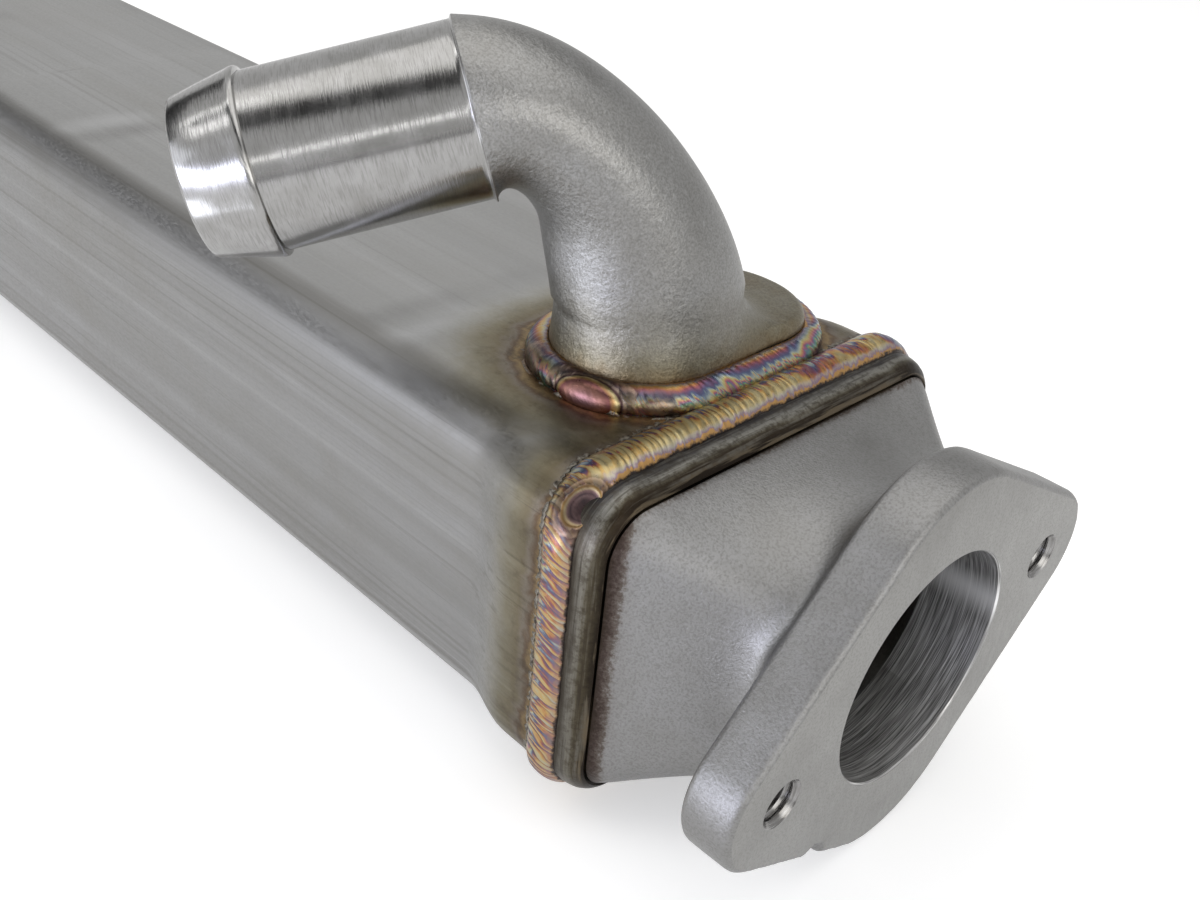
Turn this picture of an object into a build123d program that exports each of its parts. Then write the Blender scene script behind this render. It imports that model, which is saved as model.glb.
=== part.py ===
from build123d import *
import math
import os

# Exhaust gas cooler: a welded stainless box that carries hot exhaust through a stack of
# finned flat tubes while coolant flows round them inside the shell.
# Millimetres. The origin is the centre of the front gas flange's face, +X comes out of
# that flange, +Y goes to the side away from the inlet hose nipple and +Z is up.
# Both ends have the same cap, header and weld, the rear ones turned half a turn about Z.

# Shell: a folded box of sheet, flared at both ends, its top raised under each coolant port
SHELL_LENGTH = 378.0
SHELL_WIDTH = 76.0
SHELL_HEIGHT = 54.4
SHELL_CORNER_R = 8.5
SHELL_WALL = 1.5
END_WIDTH = 82.0
END_HEIGHT = 56.0
END_CORNER_R = 9.5
END_BAND = 10.0
FLARE_LENGTH = 17.0
PAD_REACH = 44.0
PAD_RAMP = 7.0

# Cap: a casting that gathers the box section into a round neck with a two-bolt flange
CAP_LENGTH = 36.4
LIP_LENGTH = 6.4
LIP_STEP = 2.6
LIP_EDGE = 1.3
CAP_CORNER_R = 7.0
CAP_WALL = 2.8
NECK_LENGTH = 4.0
NECK_WALL = 4.4
GAS_BORE_D = 39.5
FLANGE_T = 8.6
FLANGE_EDGE = 0.8
BOLT_CIRCLE_D = 65.2
BOLT_LINE_ANGLE = 11.0
BOLT_HOLE_D = 6.65
BOLT_HOLE_EDGE = 0.6
LOBE_R = 11.5
CHEEK_R = 21.5
CHEEK_OFFSET = 11.9
CHEEK_LINE_ANGLE = 86.7
NOTCH_R = 3.0
NOTCH_DEPTH = 2.0
NOTCH_ANGLE = 231.5

# Core: flat gas tubes brazed into a header plate at each end, one folded fin in each tube,
# and combs that keep the tubes apart
TUBE_COUNT = 4
TUBE_HEIGHT = 8.0
TUBE_WALL = 0.6
TUBE_PROUD = 0.6
TUBE_SIDE_GAP = 2.5
COOLANT_GAP = 3.6
HEADER_T = 3.0
FIN_WAVES = 8
FIN_SHEET = 0.3
FIN_SIDE_GAP = 0.5
FIN_SETBACK = 12.0
COMB_COUNT = 3
COMB_T = 1.5
COMB_FINGER = 52.0
COMB_GAP = 0.3

# Foot: the long pad, cast with each coolant connection, that is welded to the shell
FOOT_SETBACK = 21.9
FOOT_SIDE = -2.1
FOOT_WIDTH = 28.6
FOOT_NEAR_REACH = 17.5
FOOT_FAR_REACH = 30.3
FOOT_HEIGHT = 6.0
FOOT_EDGE = 1.8
FOOT_END_FLAT = 1.0

# Inlet elbow: a stem that tapers into a bend over the near side and down to the nipple
ELBOW_HEADING = -125.2
STEM_FOOT_D = 28.0
STEM_HEIGHT = 19.8
BEND_D = 24.4
BEND_R = 21.0
BEND_TURN = 106.2
CORE_D = 19.8
CORE_BENDS = 3
CAST_END_D = 26.4
CAST_END_LENGTH = 3.1

# Hose nipples: turned on the elbow's end, and upright on the rear foot
NIPPLE_D = 25.4
NIPPLE_LENGTH = 30.3
BARB_D = 26.9
BARB_LAND = 1.0
BARB_TIP_D = 22.7
BARB_LENGTH = 9.2
HOSE_BORE_D = 19.2

# Weld beads
CAP_BEAD_WIDTH = 5.0
CAP_BEAD_HEIGHT = 1.4
FOOT_BEAD_LEG = 2.6
FOOT_BEAD_HEIGHT = 3.4
FOOT_BEAD_CREST = 0.8

# Places that follow from the sizes
SHELL_FRONT = -CAP_LENGTH
MIDDLE = SHELL_FRONT - SHELL_LENGTH / 2
LIP_FRONT = SHELL_FRONT + LIP_LENGTH
NECK_START = -FLANGE_T - NECK_LENGTH
TUBE_FRONT = SHELL_FRONT + TUBE_PROUD
TUBE_REAR = 2 * MIDDLE - TUBE_FRONT
TUBE_WIDTH = SHELL_WIDTH - 2 * (SHELL_WALL + TUBE_SIDE_GAP)
TUBE_PITCH = TUBE_HEIGHT + COOLANT_GAP
FIN_WIDTH = TUBE_WIDTH - 2 * (TUBE_WALL + FIN_SIDE_GAP)
FIN_PITCH = (FIN_WIDTH - FIN_SHEET) / FIN_WAVES
COMB_SPINE = TUBE_SIDE_GAP - 2 * COMB_GAP
TOP = END_HEIGHT / 2
FOOT_X = SHELL_FRONT - FOOT_SETBACK
FOOT_LENGTH = FOOT_NEAR_REACH + FOOT_FAR_REACH
FOOT_OFFSET = FOOT_FAR_REACH - FOOT_LENGTH / 2
FOOT_CORNER_R = (FOOT_WIDTH - FOOT_END_FLAT) / 2
OVERCUT = 1.0
NIPPLE_REACH = NIPPLE_LENGTH + BARB_LAND + BARB_LENGTH
CORE_REACH = STEM_HEIGHT + BEND_R


def section(x, width, height, corner, lift=0.0):
    """A rounded rectangle across the cooler at x, its centre lifted."""
    return Plane.YZ.offset(x) * Pos(0, lift, 0) * RectangleRounded(width, height, corner)


def bar(x_from, x_to, *size):
    """A straight length of rounded box section from x_from to x_to."""
    return extrude(section(x_from, *size), x_to - x_from)


def turned_round(shape):
    """The same piece at the rear end: half a turn about the vertical through the middle."""
    return Pos(2 * MIDDLE, 0, 0) * Rot(0, 0, 180) * shape


def polar(distance, degrees):
    return distance * math.cos(math.radians(degrees)), distance * math.sin(math.radians(degrees))


# Shell

def shell_half(inset):
    """The front half of the shell's outside, or of its hollow when drawn in by the wall."""
    def drawn_in(width, height, corner, lift=0.0):
        return (width - 2 * inset, height - 2 * inset, corner - inset, lift)

    raised_by = (END_HEIGHT - SHELL_HEIGHT) / 2
    plain = drawn_in(SHELL_WIDTH, SHELL_HEIGHT, SHELL_CORNER_R)
    raised = drawn_in(SHELL_WIDTH, SHELL_HEIGHT + raised_by, SHELL_CORNER_R, raised_by / 2)
    end = drawn_in(END_WIDTH, END_HEIGHT, END_CORNER_R)
    band_start = SHELL_FRONT - END_BAND
    flare_start = band_start - FLARE_LENGTH
    pad_start = SHELL_FRONT - PAD_REACH
    ramp_start = pad_start - PAD_RAMP
    return (
        bar(MIDDLE, ramp_start, *plain)
        + loft([section(ramp_start, *plain), section(pad_start, *raised)], ruled=True)
        + bar(pad_start, flare_start, *raised)
        + loft([section(flare_start, *raised), section(band_start, *end)], ruled=True)
        + bar(band_start, SHELL_FRONT, *end)
    )


def shell_body(inset):
    half = shell_half(inset)
    return half + turned_round(half)


def make_shell():
    port = Pos(FOOT_X, FOOT_SIDE, TOP) * Cylinder(HOSE_BORE_D / 2, 4 * SHELL_WALL)
    return shell_body(0.0) - shell_body(SHELL_WALL) - port - turned_round(port)


# Core

def tube_levels():
    """Heights of the tubes' middles, from the lowest up."""
    lowest = -TUBE_PITCH * (TUBE_COUNT - 1) / 2
    return [lowest + TUBE_PITCH * i for i in range(TUBE_COUNT)]


def tube_prism(level, x_from, x_to, inset=0.0):
    """A flat prism along X: a tube's outside or, drawn in by the wall, its hollow."""
    flat = Rectangle(TUBE_WIDTH - 2 * inset, TUBE_HEIGHT - 2 * inset)
    return extrude(Plane.YZ.offset(x_from) * Pos(0, level, 0) * flat, x_to - x_from)


def make_tube(level):
    hollow = tube_prism(level, TUBE_REAR - OVERCUT, TUBE_FRONT + OVERCUT, TUBE_WALL)
    return tube_prism(level, TUBE_REAR, TUBE_FRONT) - hollow


def make_fin(level):
    """One sheet folded into square waves that touch the tube's upper and lower walls."""
    reach = TUBE_HEIGHT / 2 - TUBE_WALL
    upper_side, lower_side = [], []
    for fold in range(2 * FIN_WAVES + 1):
        y = (fold - FIN_WAVES) * FIN_PITCH / 2
        up = 1 if fold % 2 == 0 else -1
        left, right = y - up * FIN_SHEET / 2, y + up * FIN_SHEET / 2
        if up > 0:
            upper_side += [(left, -reach + FIN_SHEET), (left, reach)]
            lower_side += [(right, -reach), (right, reach - FIN_SHEET)]
        else:
            upper_side += [(left, reach), (left, -reach + FIN_SHEET)]
            lower_side += [(right, reach - FIN_SHEET), (right, -reach)]
    wave = make_face(Polyline(*upper_side, *lower_side[::-1], close=True))
    start = TUBE_REAR + FIN_SETBACK
    return extrude(Plane.YZ.offset(start) * Pos(0, level, 0) * wave, TUBE_FRONT - FIN_SETBACK - start)


def make_header():
    """The plate that closes the shell's end round the tubes."""
    inside = (END_WIDTH - 2 * SHELL_WALL, END_HEIGHT - 2 * SHELL_WALL, END_CORNER_R - SHELL_WALL)
    plate = bar(SHELL_FRONT - HEADER_T, SHELL_FRONT, *inside)
    for level in tube_levels():
        plate -= tube_prism(level, SHELL_FRONT - HEADER_T - OVERCUT, SHELL_FRONT + OVERCUT)
    return plate


def make_comb(x, side):
    """A spacer whose fingers lie between the tubes from one side, so the coolant winds round them."""
    spine_y = SHELL_WIDTH / 2 - SHELL_WALL - COMB_GAP - COMB_SPINE / 2
    spine_height = SHELL_HEIGHT - 2 * SHELL_CORNER_R
    finger_height = TUBE_PITCH - TUBE_HEIGHT
    comb = Pos(x, side * spine_y, 0) * Box(COMB_T, COMB_SPINE, spine_height)
    for level in tube_levels()[:-1]:
        middle = Pos(x, side * (spine_y - COMB_FINGER / 2), level + TUBE_PITCH / 2)
        comb += middle * Box(COMB_T, COMB_FINGER, finger_height)
    return comb


# Cap

def flange_outline():
    """Two bolt lobes and two cheeks joined by their common tangents."""
    edges = []
    for turn in (0, 180):
        lobe = Pos(*polar(BOLT_CIRCLE_D / 2, BOLT_LINE_ANGLE + turn)) * Circle(LOBE_R)
        cheek = Pos(*polar(CHEEK_OFFSET, CHEEK_LINE_ANGLE + turn)) * Circle(CHEEK_R)
        edges += [lobe.edge(), cheek.edge()]
    return make_hull(edges)


def make_flange():
    back = Plane.YZ.offset(-FLANGE_T)
    outline = flange_outline()
    flange = extrude(back * outline, FLANGE_T)
    flange = chamfer(flange.faces().filter_by(Axis.X).edges(), FLANGE_EDGE)
    away = Vector(*polar(1, NOTCH_ANGLE))
    rim_point = (outline.face() & Line((0, 0), away * BOLT_CIRCLE_D)).edge() @ 1
    notch = Pos(*(rim_point + away * (NOTCH_R - NOTCH_DEPTH))) * Circle(NOTCH_R)
    flange -= extrude(back * notch, FLANGE_T)
    for turn in (0, 180):
        place = Pos(*polar(BOLT_CIRCLE_D / 2, BOLT_LINE_ANGLE + turn))
        hole = place * Circle(BOLT_HOLE_D / 2)
        mouth = place * Circle(BOLT_HOLE_D / 2 + BOLT_HOLE_EDGE)
        flange -= extrude(back * hole, FLANGE_T)
        flange -= loft([Plane.YZ.offset(-BOLT_HOLE_EDGE) * hole, Plane.YZ * mouth])
    return flange


def make_cap():
    bore_r = GAS_BORE_D / 2
    body = (END_WIDTH - 2 * LIP_STEP, END_HEIGHT - 2 * LIP_STEP, CAP_CORNER_R)
    hollow = (body[0] - 2 * CAP_WALL, body[1] - 2 * CAP_WALL, CAP_CORNER_R - CAP_WALL)
    lip = bar(SHELL_FRONT, LIP_FRONT, END_WIDTH, END_HEIGHT, END_CORNER_R)
    lip = chamfer(lip.faces().sort_by(Axis.X)[-1].edges(), LIP_EDGE)
    neck_start = Plane.YZ.offset(NECK_START)
    neck = neck_start * Circle(bore_r + NECK_WALL)
    bore = neck_start * Circle(bore_r)
    outside = loft([section(LIP_FRONT, *body), neck], ruled=True)
    cap = lip + outside + extrude(neck, NECK_LENGTH) + make_flange()
    cap -= bar(SHELL_FRONT - OVERCUT, LIP_FRONT, *hollow)
    cap -= loft([section(LIP_FRONT, *hollow), bore], ruled=True)
    return cap - extrude(bore, OVERCUT - NECK_START)


# Coolant connections

def foot_outline(grown=0.0):
    """The foot's outline on the shell's top, grown all round."""
    outline = RectangleRounded(FOOT_WIDTH + 2 * grown, FOOT_LENGTH + 2 * grown, FOOT_CORNER_R + grown)
    return Pos(FOOT_X, FOOT_SIDE + FOOT_OFFSET, TOP) * outline


def make_foot():
    foot = extrude(foot_outline(), FOOT_HEIGHT)
    return chamfer(foot.faces().sort_by(Axis.Z)[-1].edges(), FOOT_EDGE)


def hose_nipple():
    """A turned spigot along Z with one barb at its open end."""
    ridge = NIPPLE_LENGTH + BARB_LAND
    profile = Polyline(
        (0, 0), (NIPPLE_D / 2, 0), (NIPPLE_D / 2, NIPPLE_LENGTH), (BARB_D / 2, NIPPLE_LENGTH),
        (BARB_D / 2, ridge), (BARB_TIP_D / 2, NIPPLE_REACH), (0, NIPPLE_REACH), close=True,
    )
    return revolve(Plane.XZ * make_face(profile), Axis.Z)


def hose_bore(depth):
    """A straight bore through a nipple and, to a depth, through what it stands on."""
    return Pos(0, 0, -depth) * extrude(Circle(HOSE_BORE_D / 2), depth + NIPPLE_REACH + OVERCUT)


def elbow_place():
    """The elbow's own frame: Z up from the shell's top, X the way the elbow bends."""
    return Plane(origin=(FOOT_X, FOOT_SIDE, TOP), x_dir=(*polar(1, ELBOW_HEADING), 0)).location


def bend_at(turn):
    """The bend's centre line in the elbow's frame: Z runs on along it, X points into the bend."""
    return Pos(BEND_R, 0, STEM_HEIGHT) * Rot(0, turn, 0) * Pos(-BEND_R, 0, 0)


def elbow_core():
    """The core that leaves the cast passage: straight pieces mitred to each other."""
    step = BEND_TURN / (CORE_BENDS + 1)
    core = None
    for i in range(CORE_BENDS + 2):
        piece = bend_at(step * i) * Cylinder(CORE_D / 2, 2 * CORE_REACH)
        if i > 0:
            piece = split(piece, bisect_by=Plane(bend_at(step * (i - 0.5))), keep=Keep.TOP)
        end = bend_at(min(step * (i + 0.5), BEND_TURN))
        piece = split(piece, bisect_by=Plane(end), keep=Keep.BOTTOM)
        core = piece if core is None else core + piece
    return core


def make_inlet_elbow():
    nipple_place = bend_at(BEND_TURN) * Pos(0, 0, CAST_END_LENGTH)
    stem = loft([Circle(STEM_FOOT_D / 2), Pos(0, 0, STEM_HEIGHT) * Circle(BEND_D / 2)], ruled=True)
    bend_axis = Axis((BEND_R, 0, STEM_HEIGHT), (0, 1, 0))
    bend = revolve(Pos(0, 0, STEM_HEIGHT) * Circle(BEND_D / 2), bend_axis, BEND_TURN)
    cast_end = bend_at(BEND_TURN) * extrude(Circle(CAST_END_D / 2), CAST_END_LENGTH)
    outside = stem + bend + cast_end + nipple_place * hose_nipple()
    passage = elbow_core() + nipple_place * hose_bore(CAST_END_LENGTH)
    return make_foot() + elbow_place() * outside - elbow_place() * passage


def make_outlet_spigot():
    """The rear connection stands straight up on a foot of the same size."""
    nipple_place = Pos(FOOT_X, FOOT_SIDE, TOP + FOOT_HEIGHT)
    spigot = make_foot() + nipple_place * hose_nipple()
    return turned_round(spigot - nipple_place * hose_bore(FOOT_HEIGHT + OVERCUT))


# Weld beads

def make_cap_bead():
    """The bead over the joint between the shell's end and the cap's lip."""
    behind, ahead = SHELL_FRONT - CAP_BEAD_WIDTH / 2, SHELL_FRONT + CAP_BEAD_WIDTH / 2
    toe = (END_WIDTH, END_HEIGHT, END_CORNER_R)
    crest = [length + 2 * CAP_BEAD_HEIGHT for length in toe[:2]] + [END_CORNER_R + CAP_BEAD_HEIGHT]
    bead = loft(
        [section(behind, *toe), section(SHELL_FRONT, *crest), section(ahead, *toe)], ruled=True
    )
    return bead - bar(behind, ahead, *toe)


def make_foot_bead():
    """The fillet weld round a foot, seated on the shell's curve as well as on its flat."""
    depth = SHELL_CORNER_R / 2
    low = Pos(0, 0, -depth) * foot_outline(FOOT_BEAD_LEG)
    toe = foot_outline(FOOT_BEAD_LEG)
    crest = Pos(0, 0, FOOT_BEAD_HEIGHT) * foot_outline(FOOT_BEAD_CREST)
    skirt = loft([low, toe, crest], ruled=True)
    inside = Pos(0, 0, -2 * depth) * extrude(foot_outline(), 2 * depth + FOOT_BEAD_HEIGHT + OVERCUT)
    return skirt - inside - shell_half(0.0)


os.makedirs("parts", exist_ok=True)
header = make_header()
cap = make_cap()
cap_bead = make_cap_bead()
foot_bead = make_foot_bead()
pieces = {
    "shell": make_shell(),
    "front_header": header,
    "rear_header": turned_round(header),
    "front_gas_cap": cap,
    "rear_gas_cap": turned_round(cap),
    "coolant_inlet_elbow": make_inlet_elbow(),
    "coolant_outlet_spigot": make_outlet_spigot(),
    "front_cap_weld": cap_bead,
    "rear_cap_weld": turned_round(cap_bead),
    "inlet_foot_weld": foot_bead,
    "outlet_foot_weld": turned_round(foot_bead),
}
for number, level in enumerate(tube_levels(), start=1):
    pieces[f"gas_tube_{number}"] = make_tube(level)
    pieces[f"gas_fin_{number}"] = make_fin(level)
for number in range(1, COMB_COUNT + 1):
    comb_x = SHELL_FRONT - number * SHELL_LENGTH / (COMB_COUNT + 1)
    pieces[f"tube_comb_{number}"] = make_comb(comb_x, 1 if number % 2 else -1)
for name, piece in pieces.items():
    export_step(piece, f"parts/{name}.step")
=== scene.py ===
import math

import bmesh
import bpy
from mathutils import Matrix, Vector, noise


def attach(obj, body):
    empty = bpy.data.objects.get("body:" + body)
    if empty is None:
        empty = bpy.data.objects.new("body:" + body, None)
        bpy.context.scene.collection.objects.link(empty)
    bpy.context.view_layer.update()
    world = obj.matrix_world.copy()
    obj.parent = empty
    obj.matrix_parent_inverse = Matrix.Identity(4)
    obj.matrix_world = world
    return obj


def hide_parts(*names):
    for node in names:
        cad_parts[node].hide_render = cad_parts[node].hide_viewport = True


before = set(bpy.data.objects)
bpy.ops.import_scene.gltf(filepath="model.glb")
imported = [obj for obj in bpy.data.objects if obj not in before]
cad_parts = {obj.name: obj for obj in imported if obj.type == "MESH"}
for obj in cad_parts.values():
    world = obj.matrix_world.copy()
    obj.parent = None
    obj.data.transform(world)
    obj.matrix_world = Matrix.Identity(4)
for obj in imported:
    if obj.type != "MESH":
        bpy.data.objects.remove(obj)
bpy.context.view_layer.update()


# Shell: the long coolant box, folded from drawn stainless sheet 1.5 mm thick and closed by
# a seam underneath. Both ends are flared to fit over the headers, and the top is raised
# where a coolant connection is welded on. The sheet keeps the long streaks of its rolling.
SHELL_FRONT = -0.0364
SHELL_LENGTH = 0.378
SHELL_REAR = SHELL_FRONT - SHELL_LENGTH
MIDDLE_X = (SHELL_FRONT + SHELL_REAR) / 2
SHELL_TOP = 0.028
SHELL_WALL = 0.0015
END_SECTION = (0.082, 0.056, 0.0095)
LONG_SECTION = (0.076, 0.0544, 0.0085)
FLARE = (0.0110, 0.0230)
RAISED_BY = 0.0008
RAISED_END = (0.044, 0.053)
RAISED_EDGE = (0.0245, 0.0360)
SUNK_BY = 0.0006
SUNK_START, SUNK_END = (0.0500, 0.0545), (0.1670, 0.1730)
SUNK_EDGE = (0.0270, 0.0310)
DETAILED_END = 0.066
END_STATION = 0.0016
LONG_STATION = 0.006
CORNER_STEPS = 12
WIDE_STEPS = 36
TALL_STEPS = 24


def ease(value, start, end):
    """Goes smoothly from 0 at start to 1 at end."""
    share = min(max((value - start) / (end - start), 0.0), 1.0)
    return share * share * (3 - 2 * share)


def box_places(x, section, inset=0.0):
    """Points round a rounded box section at x, always as many on each side and corner."""
    width, height, corner = section
    corner -= inset
    arcs = []
    for quarter in range(4):
        y = (width / 2 - inset - corner) * (1 if quarter in (0, 3) else -1)
        z = (height / 2 - inset - corner) * (1 if quarter < 2 else -1)
        arc = []
        for step in range(CORNER_STEPS + 1):
            turn = math.radians(90 * (quarter + step / CORNER_STEPS))
            arc.append((x, y + corner * math.cos(turn), z + corner * math.sin(turn)))
        arcs.append(arc)
    places = []
    for quarter, arc in enumerate(arcs):
        places += arc
        following = arcs[(quarter + 1) % 4][0]
        steps = TALL_STEPS if quarter % 2 else WIDE_STEPS
        for step in range(1, steps):
            places.append(tuple(a + (b - a) * step / steps for a, b in zip(arc[-1], following)))
    return places


def first_ring(mesh, places):
    """A closed ring of vertices at these places."""
    ring = bmesh.ops.create_circle(mesh, segments=len(places), radius=1.0)["verts"]
    for vertex, place in zip(ring, places):
        vertex.co = place
    return ring


def ring_edges(mesh, ring):
    return [mesh.edges.get((ring[i - 1], ring[i])) for i in range(len(ring))]


def grow_ring(mesh, ring, places, material=0):
    """Extrudes a ring of vertices and moves the new ring to its places."""
    order = {tuple(vertex.co): i for i, vertex in enumerate(ring)}
    new_ring = [None] * len(ring)
    for item in bmesh.ops.extrude_edge_only(mesh, edges=ring_edges(mesh, ring))["geom"]:
        if isinstance(item, bmesh.types.BMVert):
            new_ring[order[tuple(item.co)]] = item
        elif isinstance(item, bmesh.types.BMFace):
            item.material_index = material
    for vertex, place in zip(new_ring, places):
        vertex.co = place
    return new_ring


def close_loop(mesh, ring, start):
    """Extrudes the last ring onto the first one."""
    grow_ring(mesh, ring, [tuple(vertex.co) for vertex in start])


def make_object(name, mesh, materials):
    data = bpy.data.meshes.new(name)
    mesh.to_mesh(data)
    mesh.free()
    for material in materials:
        data.materials.append(material)
    piece = bpy.data.objects.new(name, data)
    bpy.context.scene.collection.objects.link(piece)
    return piece


def finish_piece(mesh, name, materials, node, sharp_degrees):
    """Closes a mesh, makes it an object at the origin and lets it ride in place of its node."""
    bmesh.ops.remove_doubles(mesh, verts=mesh.verts, dist=1e-7)
    bmesh.ops.recalc_face_normals(mesh, faces=mesh.faces)
    for face in mesh.faces:
        face.smooth = True
    sharp = math.radians(sharp_degrees)
    for edge in mesh.edges:
        edge.smooth = len(edge.link_faces) < 2 or edge.calc_face_angle() < sharp
    piece = make_object(name, mesh, materials)
    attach(piece, "root")
    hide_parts(node)


def shell_places(x, inset=0.0):
    """The shell's section at x: flared near the ends and raised under the connections."""
    from_end = min(SHELL_FRONT - x, x - SHELL_REAR)
    slim = ease(from_end, *FLARE)
    section = [end + (long - end) * slim for end, long in zip(END_SECTION, LONG_SECTION)]
    raised = slim * (1 - ease(from_end, *RAISED_END)) * RAISED_BY
    sunk = ease(from_end, *SUNK_START) * (1 - ease(from_end, *SUNK_END)) * SUNK_BY
    places = []
    for _, y, z in box_places(x, section, inset):
        crown = 1 - ease(abs(y), *RAISED_EDGE)
        plain = 1 - ease(abs(y), *SUNK_EDGE)
        places.append((x, y, z + raised * crown - sunk * plain if z > 0 else z))
    return places


shell_mesh = bmesh.new()
stations = [SHELL_FRONT]
while stations[-1] > SHELL_REAR:
    from_end = min(SHELL_FRONT - stations[-1], stations[-1] - SHELL_REAR)
    step = END_STATION if from_end < DETAILED_END else LONG_STATION
    stations.append(max(stations[-1] - step, SHELL_REAR))
ring = opening = first_ring(shell_mesh, shell_places(SHELL_FRONT))
for x in stations[1:]:
    ring = grow_ring(shell_mesh, ring, shell_places(x))
for x in reversed(stations[::4] + [SHELL_REAR]):
    ring = grow_ring(shell_mesh, ring, shell_places(x, SHELL_WALL))
close_loop(shell_mesh, ring, opening)


class Field:
    """A number, colour or normal that varies over a surface; arithmetic adds nodes for it."""

    def __init__(self, socket):
        self.socket = socket

    def __add__(self, other):
        return sums("ADD", self, other)

    def __sub__(self, other):
        return sums("SUBTRACT", self, other)

    def __rsub__(self, other):
        return sums("SUBTRACT", other, self)

    def __mul__(self, other):
        return sums("MULTIPLY", self, other)

    def __abs__(self):
        return sums("ABSOLUTE", self)


def connect(value, socket):
    """Gives an input a plain value or a field."""
    if isinstance(value, Field):
        socket.id_data.links.new(value.socket, socket)
    else:
        socket.default_value = value


def put(tree, kind, inputs=None, **settings):
    """Adds a node with its settings and inputs."""
    node = tree.nodes.new("ShaderNode" + kind)
    for name, value in settings.items():
        setattr(node, name, value)
    for key, value in (inputs or {}).items():
        connect(value, node.inputs[key])
    return node


def put_beside(kind, inputs, output=0, **settings):
    """Adds a node to the tree of the fields it takes in, and returns what it puts out."""
    tree = next(value.socket.id_data for value in inputs.values() if isinstance(value, Field))
    return Field(put(tree, kind, inputs, **settings).outputs[output])


def sums(operation, *numbers):
    """One arithmetic step on one or two numbers."""
    return put_beside("Math", dict(enumerate(numbers)), operation=operation)


def surface_place(tree):
    """Where a point of the surface is on the object."""
    return Field(put(tree, "TexCoord").outputs["Object"])


def coordinates(tree):
    """The x, y and z of a point of the surface, each as a field."""
    return [Field(socket) for socket in put(tree, "SeparateXYZ", {0: surface_place(tree)}).outputs]


def moved(place, **inputs):
    return put_beside("Mapping", {"Vector": place, **inputs})


def noise_at(place, scale=1.0, detail=4.0, rough=0.5, warp=0.0):
    return put_beside("TexNoise", {
        "Vector": place, "Scale": scale, "Detail": detail, "Roughness": rough, "Distortion": warp})


def grain(tree, scale, stretch=(1, 1, 1), detail=4.0, rough=0.55, warp=0.0, shift=(0, 0, 0)):
    """Noise in the object's own coordinates, drawn out by unequal stretch."""
    place = moved(surface_place(tree), Scale=stretch, Location=shift)
    return noise_at(place, scale, detail, rough, warp)


def span(value, low, high, new_low=0.0, new_high=1.0):
    """Stretches a number from one range to another and clamps it."""
    return put_beside("MapRange", {0: value, 1: low, 2: high, 3: new_low, 4: new_high})


def bell(value, middle, half):
    """1 where a number is at middle, falling smoothly to 0 at half on either side."""
    inputs = {0: abs(value - middle), 1: 0.0, 2: half, 3: 1.0, 4: 0.0}
    return put_beside("MapRange", inputs, interpolation_type="SMOOTHSTEP")


def sway(number, width):
    """Turns a noise into a number that goes either way by half a width."""
    return (number - 0.5) * width


def shades(value, *stops):
    """A colour that runs through the stops (place, red, green, blue) as the number goes 0 to 1."""
    node = put(value.socket.id_data, "ValToRGB", {"Fac": value})
    elements = node.color_ramp.elements
    while len(elements) < len(stops):
        elements.new(1.0)
    for element, (place, *colour) in zip(elements, stops):
        element.position = place
        element.color = (*colour, 1)
    return Field(node.outputs["Color"])


def dye(amount, under, over, mode="MIX"):
    """Lays one colour over another."""
    inputs = {0: amount, 6: under, 7: over}
    for key in (6, 7):
        if not isinstance(inputs[key], Field):
            inputs[key] = (*inputs[key], 1)
    return put_beside("Mix", inputs, 2, data_type="RGBA", blend_type=mode)


def dyes(colour, *marks):
    """Lays more colours over one, each as strongly as the span of its number says."""
    for number, low, high, least, most, over in marks:
        colour = dye(span(number, low, high, least, most), colour, over)
    return colour


def relief(*bumps):
    """Bumps of a real depth in metres, each a pair of height and depth, one on another."""
    inputs = {"Strength": 1.0}
    for height, depth in bumps:
        inputs.update(Height=height, Distance=depth)
        inputs["Normal"] = put_beside("Bump", inputs)
    return inputs["Normal"]


def new_finish(name):
    """An empty material; returns it with its node tree and its shader."""
    material = bpy.data.materials.new(name)
    material.use_nodes = True
    tree = material.node_tree
    return material, tree, tree.nodes["Principled BSDF"]


def dress_metal(shader, colour, roughness, normal, metallic=1.0):
    """Gives a metal its colour, its roughness and its relief."""
    connect(colour, shader.inputs["Base Color"])
    connect(roughness, shader.inputs["Roughness"])
    connect(normal, shader.inputs["Normal"])
    shader.inputs["Metallic"].default_value = metallic


# The foot's outline on the shell, which the heat tint and the fillet weld follow.
FOOT_X = -0.0583
FOOT_NEAR = -0.0196
FOOT_FAR = 0.0282
FOOT_MIDDLE = (FOOT_NEAR + FOOT_FAR) / 2
FOOT_LONG_HALF = (FOOT_FAR - FOOT_NEAR) / 2
FOOT_HALF = 0.0143
FOOT_R = 0.0138

sheet, tree, shader = new_finish("drawn_stainless_sheet")
long_bands = grain(tree, 1.0, (1.5, 80, 80), 3.0, 0.55, 0.25)
mid_lines = grain(tree, 1.0, (2.5, 260, 260), 4.0, 0.6, 0.15)
thin_lines = grain(tree, 1.0, (3.5, 800, 800), 2.0, 0.5, 0.1, (0.3, 0.1, 0.7))
fine_lines = grain(tree, 1.0, (14, 2600, 2600), 3.0, 0.6)
smudges = grain(tree, 42.0, (0.6, 1, 1), 5.0, 0.62, 0.6)
specks = grain(tree, 2300.0, (0.5, 1, 1), 2.0, 0.5)
scratch = grain(tree, 1.0, (26, 30, 1900), 2.0, 0.4, 0.0, (0.2, 0.9, 0.1))
steel = shades(long_bands, (0.28, 0.245, 0.242, 0.236), (0.48, 0.290, 0.288, 0.283),
               (0.58, 0.312, 0.310, 0.307), (0.72, 0.355, 0.354, 0.356))
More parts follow.
